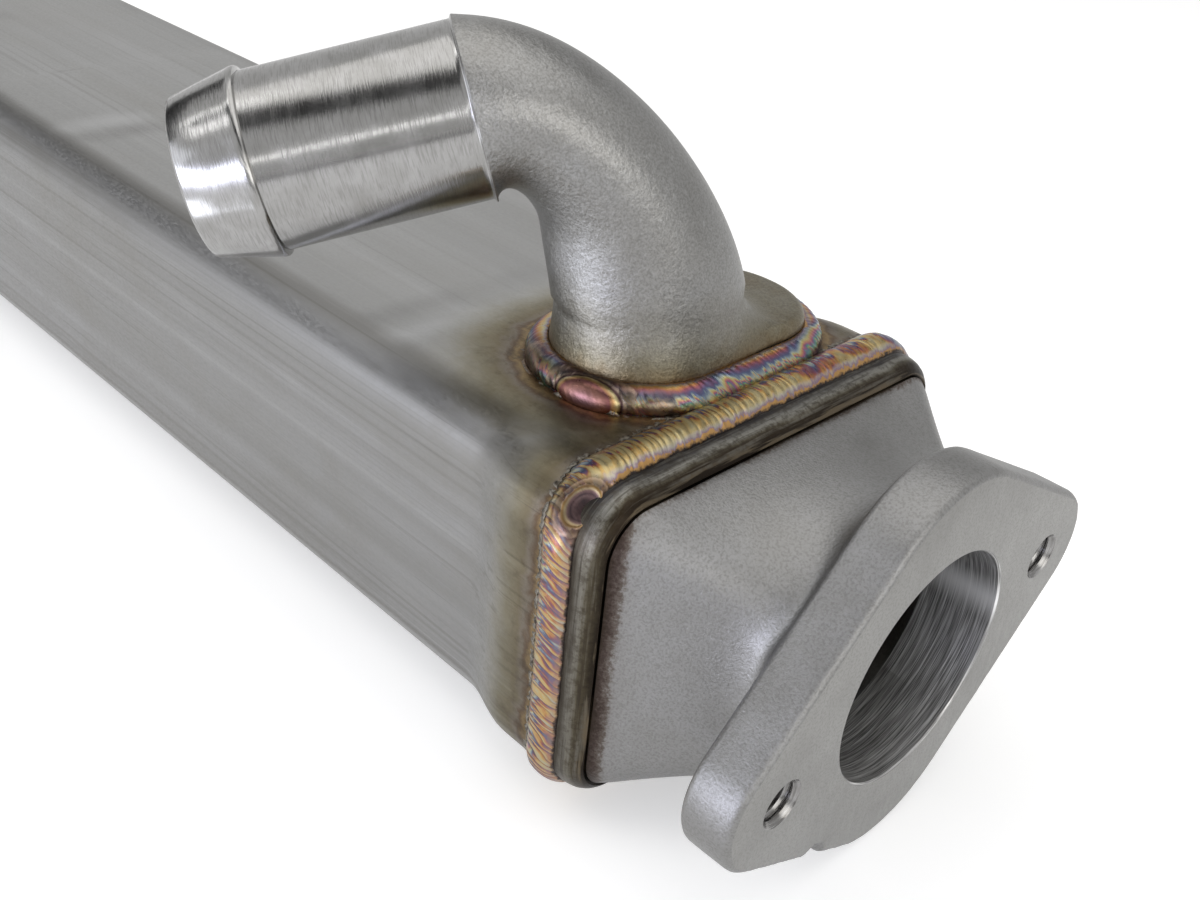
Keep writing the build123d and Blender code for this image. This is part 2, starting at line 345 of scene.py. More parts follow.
steel = dyes(
    steel,
    (mid_lines, 0.36, 0.60, 0.36, 0.0, (0.225, 0.220, 0.210)),
    (thin_lines, 0.61, 0.70, 0.0, 0.50, (0.170, 0.163, 0.150)),
    (thin_lines, 0.38, 0.30, 0.0, 0.22, (0.42, 0.42, 0.41)),
    (fine_lines, 0.56, 0.70, 0.0, 0.35, (0.20, 0.195, 0.185)),
    (smudges, 0.48, 0.70, 0.0, 0.42, (0.235, 0.225, 0.203)),
    (scratch, 0.70, 0.74, 0.0, 0.35, (0.13, 0.125, 0.12)),
)
x, y, z = coordinates(tree)
wander = sway(smudges, 0.0022)

# The folded upper edges: painted shade in the crease, a painted sheen beside it, and the side below
# them painted darker.
beside = abs(y) + wander
upper = span(z, 0.016, 0.020)
steel = dye(bell(beside, 0.0316, 0.0021) * upper * 0.25, steel, (0.125, 0.118, 0.105))
steel = dye(bell(beside, 0.0350, 0.0019) * upper * 0.45, steel, (0.42, 0.42, 0.43))
# A painted highlight on the rounded corner of the top.
rounded = span(beside, 0.0340, 0.0365) * span(z, 0.0235, 0.0262)
steel = dye(rounded * 0.25, steel, (0.40, 0.40, 0.40))
steel = dye(span(beside, 0.0368, 0.0378), steel, (0.855, 0.855, 0.850), "MULTIPLY")
# The top painted lighter away from its edges.
painted_top_light = span(z, 0.0258, 0.0266) * span(beside, 0.0325, 0.0290, 0.0, 0.35)
steel = dye(painted_top_light, steel, (0.46, 0.46, 0.455))

# Painted light at the ends of the top's raised and sunk parts: a painted highlight on each ramp and
# painted shade just inside the sunk part.
from_front = (SHELL_FRONT - x) + wander * 1.6
on_top = span(z, 0.0262, 0.0268) * span(y, 0.012, -0.012)
on_top = on_top * span(beside, 0.0335, 0.0280) * span(smudges, 0.62, 0.38, 0.25, 1.0)
ridge = bell(from_front, 0.0510, 0.0055) + bell(from_front, 0.1695, 0.0060)
steel = dye(ridge * on_top * 0.60, steel, (0.47, 0.47, 0.47))
painted_ramp_shade = bell(from_front, 0.0590, 0.0050) + bell(from_front, 0.1620, 0.0055)
steel = dye(painted_ramp_shade * on_top * 0.55, steel, (0.17, 0.166, 0.160))

# Three dark lines low on the long sides.
low_lines = (-0.0205, 0.0011, 0.45), (-0.0172, 0.0008, 0.25), (-0.0237, 0.0016, 0.60)
for height, half, amount in low_lines:
    steel = dye(bell(z + wander, height, half) * amount, steel, (0.115, 0.105, 0.090))

# The heat tint, by how far a point is from the nearest weld; both ends of the cooler alike.
from_middle = x - MIDDLE_X
along = abs(from_middle)
across = y * sums("SIGN", from_middle)
to_end = (SHELL_LENGTH / 2 - 0.0025) - along
beside_x = abs(along - (FOOT_X - MIDDLE_X))
beside_y = abs(across - FOOT_MIDDLE)
beyond_y = sums("MAXIMUM", beside_y - (FOOT_LONG_HALF - FOOT_R), 0.0)
to_foot = sums("SQRT", beside_x * beside_x + beyond_y * beyond_y) - (FOOT_R + 0.0028)
to_foot = to_foot + sums("MAXIMUM", 0.026 - z, 0.0) * 1.6
heat = sums("MINIMUM", to_end, to_foot)
heat = heat + sway(grain(tree, 150.0, detail=5.0, rough=0.65, warp=0.5), 0.006)
cooled = span(heat, -0.001, 0.0175)
tint = shades(
    cooled,
    (0.0, 0.14, 0.09, 0.06), (0.085, 0.22, 0.14, 0.08), (0.135, 0.56, 0.37, 0.18),
    (0.175, 0.74, 0.53, 0.27), (0.225, 0.38, 0.26, 0.17), (0.28, 0.58, 0.50, 0.40),
    (0.35, 0.52, 0.44, 0.29), (0.48, 0.64, 0.58, 0.42), (0.62, 0.82, 0.78, 0.66),
    (0.80, 0.96, 0.95, 0.91), (1.0, 1.0, 1.0, 1.0),
)
soot = grain(tree, 420.0, detail=5.0, rough=0.7)
sooty = span(soot, 0.50, 0.66) * span(cooled, 0.62, 0.05, 0.0, 0.75)
dress_metal(
    shader,
    dye(sooty, dye(1.0, steel, tint, "MULTIPLY"), (0.050, 0.038, 0.024)),
    span(long_bands, 0.3, 0.7, 0.33, 0.42) + span(specks, 0.4, 0.7, 0.0, 0.10),
    relief((fine_lines, 0.000012), (mid_lines, 0.00006), (specks, 0.000008), (long_bands, 0.00040)),
)
finish_piece(shell_mesh, "cooler_shell", [sheet], "shell", 50)


# Gas caps: one stainless investment casting at each end, blasted matt. A lip as large as the
# shell's end takes the weld, the body gathers into a round neck, and the two-bolt flange has
# a milled face, a machined bore and a tapped hole in each lobe.
LIP_FRONT = -0.030
FLANGE_BACK = -0.0086
BODY_SECTION = (0.0768, 0.0508, 0.007)
HOLLOW_SECTION = (0.0712, 0.0452, 0.0042)
NECK_R = 0.02415
NECK_BACK = -0.0110
NECK_STEPS = 30
GAS_BORE_R = 0.01975
GAS_BORE_BACK = -0.0126
BORE_CHAMFER = 0.0003
LOBE_DISTANCE = 0.0326
LOBE_DEGREES = 11.0
LOBES = [(LOBE_DISTANCE, LOBE_DEGREES, 0.0115), (0.0119, 86.7, 0.0215)]
HOLE_R = 0.003325
HOLE_CHAMFER = 0.0007
HOLE_POINTS = 48
THREAD_TURNS = 6
THREAD_PITCH = 0.00125
THREAD_DEPTH = 0.00055
NOTCH_DEGREES = 231.5
NOTCH_DEPTH = 0.0019
FLANGE_POINTS = 360
WORN_BY = 0.00011
FLANGE_RIM, NOTCH_RIM, HOLE_RIM = 0.0014, 0.0024, 0.0044
LIP_PROFILE = [(-0.0350, 0.0), (-0.0333, 0.0001), (-0.0322, 0.0004), (-0.0313, 0.0009),
               (-0.0306, 0.0016), (-0.0303, 0.0021), (-0.0305, 0.0024)]
GROOVE_PROFILE = [(-0.0308, 0.0004), (-0.0307, 0.0001), (-0.0302, 0.0)]
FLANGE_PROFILE = [(-0.0084, 0.0004, 0.1), (-0.0080, 0.0001, 0.1), (-0.0075, 0.0, 0.1),
                  (-0.0050, 0.0, 0.1), (-0.0014, 0.00005, 0.3), (-0.0009, 0.00012, 0.7),
                  (-0.0005, 0.0003, 1.0), (-0.00015, 0.0006, 1.0), (0.0, 0.0010, 0.8)]


def heading(turn):
    """The direction of a turn, in a plane."""
    return Vector((math.cos(turn), math.sin(turn)))


def bezier(share):
    """The weights of a cubic curve's four poles at a share of its way."""
    rest = 1 - share
    return rest ** 3, 3 * rest * rest * share, 3 * rest * share * share, share ** 3


def rough_at(*place):
    return noise.noise(Vector(place))


def even_steps(lengths, count):
    """Walks along these lengths in even steps: each one's distance, length and share of it."""
    part, passed = 0, 0.0
    for i in range(count):
        distance = sum(lengths) * i / count
        while distance > passed + lengths[part]:
            passed += lengths[part]
            part += 1
        yield distance, part, (distance - passed) / lengths[part]


def flange_places(x, inset):
    """The flange's outline at x, drawn in all round by inset."""
    circles = [(heading(math.radians(degrees + half)) * distance, radius)
               for distance, degrees, radius in LOBES for half in (0, 180)]
    corners = []
    for i in range(FLANGE_POINTS):
        normal = heading(2 * math.pi * i / FLANGE_POINTS)
        centre, radius = max(circles, key=lambda circle: circle[0].dot(normal) + circle[1])
        corners.append(centre + normal * (radius - inset))
    sides = list(zip(corners, corners[1:] + corners[:1]))
    away = heading(math.radians(NOTCH_DEGREES))
    places = []
    for _, part, share in even_steps([(b - a).length for a, b in sides], FLANGE_POINTS):
        point = sides[part][0].lerp(sides[part][1], share)
        beside = abs(point.cross(away))
        if beside < 0.004 and point.dot(away) > 0:
            point -= away * (NOTCH_DEPTH * (1 - ease(beside, 0.0010, 0.0034)))
        places.append((x, *point))
    return places


def flange_reach(turn):
    """How far the flange's outline is from the bore's axis in this direction."""
    reach = 1.0
    for degrees in range(0, 360, 2):
        facing = math.cos(turn - math.radians(degrees))
        if facing > 0.2:
            most = max(distance * math.cos(math.radians(lobe + half - degrees)) + radius
                       for distance, lobe, radius in LOBES for half in (0, 180))
            reach = min(reach, most / facing)
    return reach


def neck_limit(turn):
    """How wide the neck may get in this direction, clear of the notch and the tapped holes."""
    reach = flange_reach(turn)
    off_notch = math.cos(turn - math.radians(NOTCH_DEGREES))
    beside = reach * math.sqrt(1 - off_notch ** 2) if off_notch > 0 else 1.0
    reach -= FLANGE_RIM + NOTCH_RIM * (1 - ease(beside, 0.0030, 0.0060))
    off_hole = abs(LOBE_DISTANCE * math.sin(turn - math.radians(LOBE_DEGREES)))
    return min(reach, LOBE_DISTANCE - HOLE_RIM + 0.45 * off_hole)


def neck_sweep(y, z):
    """The curve (x, distance from the axis) that takes the body into the flange's back."""
    size = math.hypot(y, z)
    limit = neck_limit(math.atan2(z, y))
    narrow = min(NECK_R + 0.08 * (size - NECK_R), limit - 0.0005)
    begin, bend = Vector((LIP_FRONT, size)), Vector((NECK_BACK, narrow))
    end = Vector((FLANGE_BACK, min(narrow + 0.0055, limit)))
    return begin, begin.lerp(bend, 0.74), bend + Vector((0.0006, 0.0004)), end


def bore_places(x, like):
    """A ring of the gas bore whose points stand where those of another ring do."""
    places = []
    for _, y, z in like:
        size = math.hypot(y, z)
        places.append((x, y / size * GAS_BORE_R, z / size * GAS_BORE_R))
    return places


def hole_places(x, radius, half):
    """A ring of the tapped hole in one lobe."""
    y, z = heading(math.radians(LOBE_DEGREES + half)) * LOBE_DISTANCE
    turns = [2 * math.pi * i / HOLE_POINTS for i in range(HOLE_POINTS)]
    return [(x, y + radius * math.cos(turn), z + radius * math.sin(turn)) for turn in turns]


def cap_mesh():
    """The front casting: its outside, the flange with its holes, and the passage inside."""
    mesh = bmesh.new()
    body = box_places(LIP_FRONT, BODY_SECTION)
    start = first_ring(mesh, box_places(SHELL_FRONT, HOLLOW_SECTION))
    ring = grow_ring(mesh, start, box_places(SHELL_FRONT, END_SECTION))
    for profile, section in ((LIP_PROFILE, END_SECTION), (GROOVE_PROFILE, BODY_SECTION)):
        for x, inset in profile:
            ring = grow_ring(mesh, ring, box_places(x, section, inset), 3)
    sweeps = [neck_sweep(y, z) for _, y, z in body]
    for step in range(1, NECK_STEPS + 1):
        weights = bezier(step / NECK_STEPS)
        places = []
        for (_, y, z), poles in zip(body, sweeps):
            x = sum(weight * pole.x for weight, pole in zip(weights, poles))
            reach = sum(weight * pole.y for weight, pole in zip(weights, poles)) / math.hypot(y, z)
            places.append((x, y * reach, z * reach))
        ring = grow_ring(mesh, ring, places)
    back_edges = ring_edges(mesh, ring)
    ring = first_ring(mesh, flange_places(FLANGE_BACK, 0.0009))
    back_edges += ring_edges(mesh, ring)
    for x, inset, worn in FLANGE_PROFILE:
        places = []
        for _, y, z in flange_places(x, inset):
            nick = rough_at(x * 300, y * 420, z * 420) + 0.7 * rough_at(x * 300, y * 1300, z * 1300)
            draw_in = 1 - WORN_BY * worn * (nick + 0.8) / math.hypot(y, z)
            places.append((x, y * draw_in, z * draw_in))
        ring = grow_ring(mesh, ring, places)
    front_edges = ring_edges(mesh, ring)
    chamfer = 1 + BORE_CHAMFER / GAS_BORE_R
    mouth = [(x, y * chamfer, z * chamfer) for x, y, z in bore_places(0.0, body)]
    ring = first_ring(mesh, mouth)
    front_edges += ring_edges(mesh, ring)
    for x in (-BORE_CHAMFER, -0.006, GAS_BORE_BACK):
        ring = grow_ring(mesh, ring, bore_places(x, body), 4)
    hollow = box_places(LIP_FRONT, HOLLOW_SECTION)
    bore = bore_places(GAS_BORE_BACK, body)
    for share in (0.25, 0.5, 0.75, 1.0):
        places = [tuple(a + (b - a) * share for a, b in zip(*ends)) for ends in zip(bore, hollow)]
        ring = grow_ring(mesh, ring, places)
    close_loop(mesh, ring, start)
    for half in (0, 180):
        ring = first_ring(mesh, hole_places(0.0, HOLE_R + HOLE_CHAMFER, half))
        front_edges += ring_edges(mesh, ring)
        profile = [(-0.0006, HOLE_R + 0.00025)]
        for turn in range(THREAD_TURNS):
            x = -0.0009 - THREAD_PITCH * turn
            crest, root = HOLE_R, HOLE_R + THREAD_DEPTH
            profile += [(x, crest), (x - 0.00055, root), (x - 0.0007, root)]
        for x, radius in profile + [(FLANGE_BACK, HOLE_R + 0.0002)]:
            ring = grow_ring(mesh, ring, hole_places(x, radius, half), 2)
        back_edges += ring_edges(mesh, ring)
    for edges, material in ((front_edges, 1), (back_edges, 0)):
        filled = bmesh.ops.triangle_fill(mesh, use_beauty=True, use_dissolve=False, edges=edges)
        for item in filled["geom"]:
            if isinstance(item, bmesh.types.BMFace):
                item.material_index = material
    return mesh


blasted, tree, shader = new_finish("blasted_stainless_casting")
pits = grain(tree, 2600.0, detail=3.0, rough=0.6)
blotches = grain(tree, 60.0, detail=5.0, rough=0.6, warp=0.5)
coarse = grain(tree, 900.0, rough=0.65)
cast = shades(blotches, (0.30, 0.225, 0.222, 0.216), (0.5, 0.255, 0.253, 0.249),
              (0.72, 0.285, 0.284, 0.284))
cast = dyes(
    cast,
    (pits, 0.36, 0.54, 0.50, 0.0, (0.15, 0.146, 0.138)),
    (coarse, 0.58, 0.72, 0.0, 0.15, (0.40, 0.40, 0.40)),
)
x, y, z = coordinates(tree)
off_middle = abs(MIDDLE_X) - abs(x - MIDDLE_X)
off_lip = off_middle + sway(grain(tree, 1500.0, rough=0.7), 0.0030)
off_lip = off_lip + sway(grain(tree, 110.0, detail=3.0, rough=0.6), 0.0022)
off_lip = off_lip + span(abs(y), 0.0345, 0.0372, -0.0014, 0.0003)
scorch = shades(
    span(off_lip, 0.0255, 0.0315),
    (0.0, 1.0, 1.0, 1.0), (0.40, 0.96, 0.95, 0.95), (0.48, 0.80, 0.77, 0.75),
    (0.56, 0.46, 0.39, 0.35), (0.70, 0.24, 0.18, 0.16), (0.82, 0.15, 0.11, 0.09),
    (1.0, 0.10, 0.07, 0.05),
)
dress_metal(
    shader,
    dye(1.0, cast, scorch, "MULTIPLY"),
    span(blotches, 0.3, 0.7, 0.42, 0.50),
    relief((pits, 0.000065), (coarse, 0.00006)),
)

scorched, tree, shader = new_finish("scorched_lip")
drag = grain(tree, 1.0, (1500, 60, 60), rough=0.6)
crust = grain(tree, 900.0, rough=0.7)
cloud = grain(tree, 120.0, rough=0.6, warp=0.4)
x, y, z = coordinates(tree)
ragged = (abs(MIDDLE_X) - abs(x - MIDDLE_X)) + sway(crust, 0.0009) + sway(cloud, 0.0016)
# Across the lip: dark scorch and painted shade in the groove and by the bead, and a painted
# highlight on the crown between them.
scorch_and_painted_light = shades(
    span(ragged, 0.0300, 0.0352),
    (0.0, 0.020, 0.015, 0.011), (0.28, 0.030, 0.022, 0.014), (0.38, 0.085, 0.075, 0.055),
    (0.52, 0.225, 0.218, 0.195), (0.64, 0.19, 0.185, 0.17), (0.76, 0.050, 0.047, 0.048),
    (1.0, 0.022, 0.020, 0.021),
)
# The lip's sides painted darker, with an olive tint.
scorch_and_painted_light = dye(span(abs(y), 0.0370, 0.0402) * 0.55, scorch_and_painted_light, (0.080, 0.068, 0.045))
scorch_and_painted_light = dyes(
    scorch_and_painted_light,
    (drag, 0.50, 0.64, 0.0, 0.42, (0.20, 0.19, 0.165)),
    (drag, 0.46, 0.34, 0.0, 0.60, (0.030, 0.024, 0.019)),
    (crust, 0.40, 0.54, 0.50, 0.0, (0.040, 0.032, 0.024)),
)
tan = dye(span(drag, 0.52, 0.60, 0.0, 0.7), (0.020, 0.015, 0.011), (0.16, 0.125, 0.080))
dress_metal(
    shader,
    dye(span(ragged, 0.0311, 0.0305, 0.0, 0.85), scorch_and_painted_light, tan),
    span(crust, 0.3, 0.7, 0.34, 0.52),
    relief((crust, 0.00006), (drag, 0.00004)),
)

milled, tree, shader = new_finish("milled_gas_face")
cloud = grain(tree, 45.0, detail=5.0, rough=0.6, warp=0.3)
swirl = grain(tree, 900.0, (1, 0.8, 0.35))
prick = grain(tree, 2400.0, detail=2.0)
pale = shades(cloud, (0.3, 0.262, 0.259, 0.250), (0.7, 0.325, 0.322, 0.312))
dress_metal(
    shader,
    dye(span(prick, 0.38, 0.52, 0.45, 0.0), pale, (0.19, 0.186, 0.176)),
    span(swirl, 0.3, 0.7, 0.42, 0.52),
    relief((swirl, 0.000010)),
)

bored, tree, shader = new_finish("bored_gas_passage")
tool_lines = grain(tree, 1.0, (7500, 130, 130), detail=2.0, rough=0.6)
coarse_cut = grain(tree, 1.0, (2200, 45, 45), detail=2.0)
cut_metal = shades(tool_lines, (0.36, 0.13, 0.128, 0.125), (0.50, 0.38, 0.375, 0.37),
                   (0.66, 0.72, 0.72, 0.71))
cut_metal = dye(span(coarse_cut, 0.42, 0.60, 0.35, 0.0), cut_metal, (0.16, 0.155, 0.15))
x, y, z = coordinates(tree)
# A painted highlight along one side of each bore, a little above its axis.
rubbed_and_highlight = bell(z, 0.0030, 0.0050) * span(y * sums("SIGN", x - MIDDLE_X), 0.0, 0.010)
dress_metal(
    shader,
    dye(rubbed_and_highlight * 0.80, cut_metal, (1.0, 1.0, 1.0)),
    span(coarse_cut, 0.3, 0.7, 0.30, 0.42),
    relief((tool_lines, 0.00002)),
    0.62,
)

tapped, tree, shader = new_finish("tapped_thread")
marks = grain(tree, 1.0, (3000, 300, 300), detail=2.0)
dress_metal(
    shader,
    shades(marks, (0.3, 0.16, 0.155, 0.15), (0.7, 0.36, 0.355, 0.35)),
    span(marks, 0.3, 0.7, 0.18, 0.32),
    relief((marks, 0.00002)),
)



def turn_to_rear(mesh):
    """Moves a front piece's mesh to the rear end, by half a turn about the middle."""
    half_turn = Matrix.Translation((2 * MIDDLE_X, 0, 0)) @ Matrix.Rotation(math.pi, 4, "Z")
    bmesh.ops.transform(mesh, matrix=half_turn, verts=mesh.verts)


for end in ("front", "rear"):
    cap = cap_mesh()
    if end == "rear":
        turn_to_rear(cap)
    finishes = [blasted, milled, tapped, scorched, bored]
    finish_piece(cap, f"{end}_gas_casting", finishes, f"{end}_gas_cap", 32)


# Cap welds: a filler bead laid by hand round the joint between shell and cap. It froze in
# close crescents, one for each touch of the rod, and the heat left it straw on top and gold
# and purple on the sides, with a dark crater at the corner nearest the inlet nipple.
BEAD_MIDDLE = SHELL_FRONT - 0.0011
BEAD_HALF = 0.0029
BEAD_HEIGHT = 0.0015
RIPPLE = 0.00130
BEAD_STATIONS = 1500
BEAD_LAYERS = ("along", "across", "pool")
SPATTER_EDGE = -1.30
BEAD_SHARES = [SPATTER_EDGE, -1.18, -1.08, -1.0, -0.94]
BEAD_SHARES += [-0.86 + 1.72 * i / 14 for i in range(15)] + [0.94, 1.0]
CORNER_CRATER = [((-0.0356, -0.0389, 0.0264), (0.30, 0.50, 0.81), 0.0036, 0.0024, -0.0010, 0.0)]


def walk_round(half_a, half_b, corner, stations):
    """Evenly spaced (a, b, outward a, outward b, distance) round a rounded rectangle."""
    middles = [Vector((a * (half_a - corner), b * (half_b - corner)))
               for a, b in ((1, 1), (-1, 1), (-1, -1), (1, -1))]
    runs = []
    for side in range(4):
        start, end = middles[side - 1], middles[side]
        runs.append((start, end, 90 * side, 90 * side, (end - start).length))
        runs.append((end, end, 90 * side, 90 * side + 90, corner * math.pi / 2))
    spots = []
    for distance, part, share in even_steps([run[-1] for run in runs], stations):
        start, end, first_degrees, last_degrees, _ = runs[part]
        outward = heading(math.radians(first_degrees + (last_degrees - first_degrees) * share))
        spots.append((*(start.lerp(end, share) + outward * corner), *outward, distance))
    return spots


def ripple_phase(distance, across, pitch, slant, seed):
    """Counts the crescents along a bead; they bow back at its middle and trail to one side."""
    drift = 1.1 * rough_at(distance * 130, seed, 0.0) + 0.45 * rough_at(distance * 600, seed, 3.0)
    tilt = 0.5 * across * rough_at(distance * 210, seed, 9.0)
    return distance / pitch + drift + tilt + 0.8 * (1 - across * across) + slant * across


def crescent(phase):
    """The height of one frozen crescent, steep where the next one laps over it."""
    return math.sin(math.pi * (phase - math.floor(phase)) ** 0.65)


def pool_near(point, pools):
    """How near a point is to a smooth pool (under 1 inside it), its lift there and its shade."""
    nearest, raised, shade = 2.0, 0.0, 2.0
    for centre, along, half_long, half_short, lift, first_shade in pools:
        offset = point - Vector(centre)
        run = offset.dot(Vector(along).normalized())
        aside = math.sqrt(max(offset.length_squared - run * run, 0.0))
        spread = math.hypot(run / half_long, aside / half_short)
        if spread < nearest:
            nearest = spread
            shade = first_shade + spread * (1 - first_shade / 2)
            domed = math.sqrt(max(1 - spread * spread, 0.0))
            raised = lift * (domed if lift > 0 else 1 - min(spread, 1) ** 2)
    return nearest, raised, shade


def bead_point(spot, across, place, height, pitch, slant, seed, pools):
    """One point of a bead's surface, with its crescent's number and its pool's shade."""
    distance = spot[4]
    inner = min(max(across, -1.0), 1.0)
    phase = ripple_phase(distance, inner, pitch, slant * (0.45 + 0.55 * abs(spot[2])), seed)
    swell = 1 + 0.20 * rough_at(distance * 90, seed, 5.0)
    dome = height * swell * (1 - abs(inner) ** 2.4) ** 0.75
    if across < -1.0:
        spatter = 0.00020 * rough_at(distance * 1100, across * 2, seed)
        dome = 0.00010 * (across - SPATTER_EDGE) / 0.3 + spatter
    lap = crescent(phase) - 0.5
    edge = 0.05 * rough_at(phase * 0.9, seed, 7.0) + 0.10 * lap * min(inner, 0) ** 2
    spread, raised, shade = pool_near(Vector(place(spot, across, dome)), pools)
    calm = 1 - ease(spread, 0.85, 1.20)
    ridge = 0.00018 * lap * (1 - inner ** 4) * (0.55 - 0.45 * inner)
    smooth_dome = height * (1 - abs(inner) ** 2.0)
    rise = (dome + ridge) * (1 - calm) + (smooth_dome + raised) * calm
    return place(spot, across + edge * (1 - calm), rise), phase, shade


def bead_mesh(spots, place, height, pitch, slant, seed, pools):
    """A bead along closed spots. place gives a point for a spot, an across share and a height."""
    mesh = bmesh.new()
    along, sideways, pooled = (mesh.verts.layers.float.new(name) for name in BEAD_LAYERS)
    start = ring = None
    for across in BEAD_SHARES:
        points = [bead_point(spot, across, place, height, pitch, slant, seed, pools)
                  for spot in spots]
        places = [point[0] for point in points]
        ring = grow_ring(mesh, ring, places) if ring else first_ring(mesh, places)
        start = start or ring
        for vertex, (_, phase, shade) in zip(ring, points):
            vertex[along] = phase
            vertex[sideways] = across
            vertex[pooled] = shade
    for across in (1.0, SPATTER_EDGE):
        ring = grow_ring(mesh, ring, [place(spot, across, -0.0005) for spot in spots])
        for vertex in ring:
            vertex[sideways] = across
            vertex[pooled] = 2.0
    close_loop(mesh, ring, start)
    return mesh


def joint_place(spot, across, height):
    """Where the cap bead's surface is: across runs from the shell to the cap."""
    y, z, out_y, out_z, _ = spot
    x = BEAD_MIDDLE - 0.0009 * abs(out_z) + across * (BEAD_HALF + 0.0006 * abs(out_z))
    return x, y + out_y * height, z + out_z * height


def oxide(film):
    """The colours that steel takes as its oxide film grows, from bare metal to a second round."""
    return shades(
        film,
        (0.00, 0.31, 0.31, 0.30), (0.08, 0.40, 0.38, 0.29), (0.16, 0.46, 0.38, 0.19),
        (0.23, 0.50, 0.31, 0.09), (0.29, 0.38, 0.15, 0.05), (0.34, 0.22, 0.06, 0.08),
        (0.40, 0.11, 0.06, 0.13), (0.46, 0.07, 0.09, 0.18), (0.52, 0.18, 0.23, 0.28),
        (0.58, 0.36, 0.39, 0.33), (0.64, 0.46, 0.41, 0.17), (0.70, 0.44, 0.20, 0.12),
        (0.76, 0.27, 0.08, 0.18), (0.82, 0.09, 0.17, 0.22), (0.88, 0.13, 0.30, 0.18),
        (0.94, 0.34, 0.30, 0.13), (1.00, 0.20, 0.15, 0.12),
    )


def bead_streaks(along, across, spread, depth):
    """Noise drawn out along the crescents, from -0.5 to 0.5."""
    place = put_beside("CombineXYZ", {0: along * spread, 1: across * 0.55, 2: depth})
    return noise_at(place, detail=3.0, rough=0.55) - 0.5


def bead_finish(name, top_film, side_film, top_play, side_play, low_shift, pool_stops):
    """Heat-tinted weld metal whose film follows the crescents, the bead's width and its pools."""
    material, tree, shader = new_finish(name)
    carried = [put(tree, "Attribute", attribute_name=name) for name in BEAD_LAYERS]
    along, across, pool = (Field(node.outputs["Fac"]) for node in carried)
    y = coordinates(tree)[1]
    side = span(abs(y), 0.0345, 0.0385)
    ragged = grain(tree, 900.0, rough=0.65) - 0.5
    patches = grain(tree, 62.0, detail=3.0, rough=0.6, warp=0.4, shift=(3.1, 1.2, 0.4))
    patches = patches + span(y, 0.012, 0.024, 0.0, 0.07)
    wide_streaks = bead_streaks(along, across, 0.75, 2.0)
    tight_streaks = bead_streaks(along, across, 1.9, 5.0)
    notches = wide_streaks + tight_streaks * 0.6
    step = sums("FRACT", along)

    # The oxide film: streaks along the crescents, patches, and more of it low on the bead.
    play = span(side, 0.0, 1.0, top_play, side_play)
    film = span(side, 0.0, 1.0, top_film, side_film)
    film = film + wide_streaks * play + tight_streaks * (play * 0.5)
    film = film + (0.55 - step) * (side * 0.16) + span(patches, 0.56, 0.68, 0.0, 0.26)
    film = film + span(across + notches * 1.6, 0.70, -0.80, 0.0, low_shift)
    film = film + sway(patches, low_shift) + ragged * 0.08
    film = film + span(across, 0.20, -0.45) * span(notches, 0.0, 0.07) * 0.31
    colour = dye(span(side, 0.0, 1.0, 0.10, 0.20), oxide(film), (0.24, 0.225, 0.205))

    # The lines along the cap's side of the bead, and the dark laps between the crescents.
    edge = across + ragged * 0.35
    lapped = edge + notches * 0.55
    rim = span(side, 0.0, 1.0, 1.0, 0.30)
    for low, high, most, line in ((0.52, 0.68, 0.60, (0.32, 0.325, 0.345)),
                                  (0.66, 0.80, 0.75, (0.20, 0.13, 0.20)),
                                  (0.80, 0.86, 0.85, (0.44, 0.25, 0.07))):
        colour = dye(span(lapped, low, high, 0.0, most) * rim, colour, line)
    colour = dye(span(edge, 0.90, 0.98), colour, (0.050, 0.040, 0.036))
    lap = span(step, 0.30, 0.0) * span(across, 0.6, -0.5, 0.30, 0.75)
    lap = lap * span(side, 0.0, 1.0, 0.40, 1.40)
    colour = dye(lap, colour, (0.085, 0.070, 0.075))
    mottled = shades(ragged + 0.5, (0.38, 0.055, 0.045, 0.035), (0.62, 0.27, 0.25, 0.21))
    colour = dye(span(edge, -1.00, -1.06), colour, mottled)
    colour = dye(bell(edge, -1.01, 0.09) * 0.95, colour, (0.018, 0.013, 0.011))

    # The pools, with the swirls round them.
    wet = pool + ragged * 0.08
    eye = shades(wet, *pool_stops)
    eye = dye(span(wide_streaks, -0.15, 0.15, 0.0, 0.35), eye, (0.12, 0.07, 0.07))
    swirl = sums("FRACT", wet * 2.6 + ragged * 0.8)
    swirled = shades(swirl, (0.0, 0.060, 0.040, 0.034), (0.35, 0.12, 0.082, 0.060),
                     (0.75, 0.25, 0.18, 0.13), (1.0, 0.10, 0.068, 0.052))
    colour = dye(span(wet, 1.90, 1.45, 0.0, 0.85), colour, swirled)
    dress_metal(
        shader,
        dye(span(wet, 1.10, 1.04), colour, eye),
        span(ragged, -0.2, 0.2, 0.26, 0.42) + span(across, -1.0, -1.08, 0.0, 0.2),
        relief((ragged, 0.00003), (tight_streaks, 0.00006)),
    )
    return material


cap_bead = bead_finish("tinted_cap_bead", 0.180, 0.275, 0.24, 0.80, 0.0, [
    (0.0, 0.020, 0.017, 0.018), (0.45, 0.030, 0.024, 0.026), (0.62, 0.10, 0.068, 0.068),
    (0.72, 0.040, 0.030, 0.034), (0.84, 0.13, 0.085, 0.080), (0.92, 0.30, 0.24, 0.14),
    (1.0, 0.24, 0.15, 0.06)])
joint = walk_round(END_SECTION[0] / 2, END_SECTION[1] / 2, END_SECTION[2], BEAD_STATIONS)
for end, seed in (("front", 1.7), ("rear", 8.3)):
    bead = bead_mesh(joint, joint_place, BEAD_HEIGHT, RIPPLE, -0.7, seed, CORNER_CRATER)
    if end == "rear":
        turn_to_rear(bead)
    finish_piece(bead, f"{end}_cap_bead", [cap_bead], f"{end}_cap_weld", 180)


